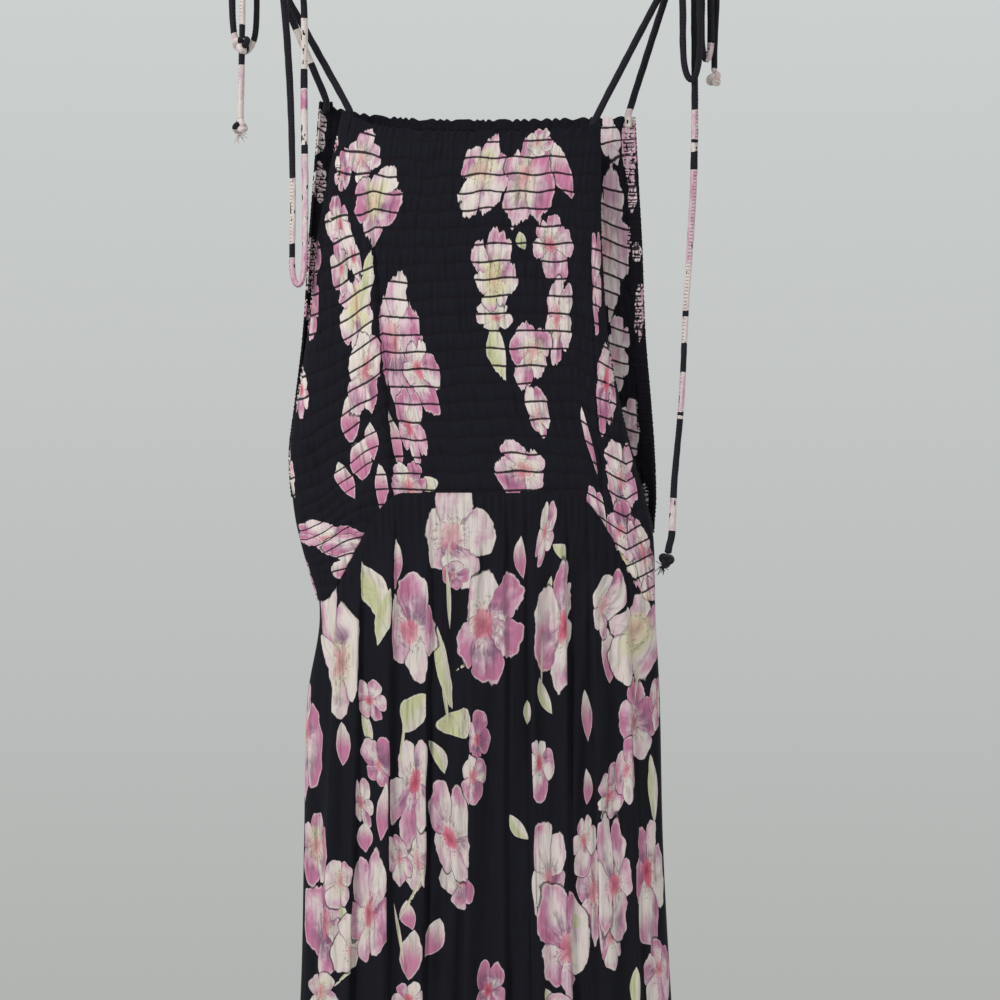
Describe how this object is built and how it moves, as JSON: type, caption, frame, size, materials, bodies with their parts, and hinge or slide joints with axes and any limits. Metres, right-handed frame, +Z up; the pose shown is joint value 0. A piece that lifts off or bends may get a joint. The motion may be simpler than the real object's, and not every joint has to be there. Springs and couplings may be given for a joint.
{
  "type": "tiered maxi dress on a hanger",
  "caption": "Sleeveless tiered maxi dress with a shirred bodice, gathered skirt and shoulder ties, hanging on a plain hanger.",
  "frame": {"origin": "underside of the hook's crown, where the hanger hangs on a rail or a wall hook", "axes": "+Z up along the hanging garment, the front of the dress faces -Y, +X to its right as seen from the front"},
  "size_m": [0.4453, 0.1372, 1.604],
  "materials": {
    "print_rayon": "near-black crinkled rayon with a pink and cream flower print, soft and matt",
    "tie_rayon": "narrow rolled ties of the same printed rayon",
    "hanger_plastic": "plain pale plastic, slightly glossy",
    "hanger_steel": "plain bright wire"
  },
  "bodies": {
    "root": {"bodice_front": "print_rayon", "bodice_back": "print_rayon", "armhole_edge_front_left": "print_rayon", "armhole_edge_front_right": "print_rayon", "armhole_edge_back_left": "print_rayon", "armhole_edge_back_right": "print_rayon", "skirt_front": "print_rayon", "skirt_back": "print_rayon", "tier_front": "print_rayon", "tier_back": "print_rayon", "strap_front_left": "tie_rayon", "strap_front_right": "tie_rayon", "strap_back_left": "tie_rayon", "strap_back_right": "tie_rayon", "bow_knot_left": "tie_rayon", "bow_knot_right": "tie_rayon", "tie_left_long_loop": "tie_rayon", "tie_left_loop": "tie_rayon", "tie_left_end_upper": "tie_rayon", "tie_left_end_lower": "tie_rayon", "tie_right_loop": "tie_rayon", "tie_right_wide_loop": "tie_rayon", "tie_right_short_end": "tie_rayon", "tie_right_long_end": "tie_rayon", "end_knot_left_middle": "tie_rayon", "end_knot_left": "tie_rayon", "end_knot_right_short": "tie_rayon", "end_knot_right_long": "tie_rayon", "hanger_bar": "hanger_plastic", "hanger_hook": "hanger_steel"}
  },
  "joints": []
}
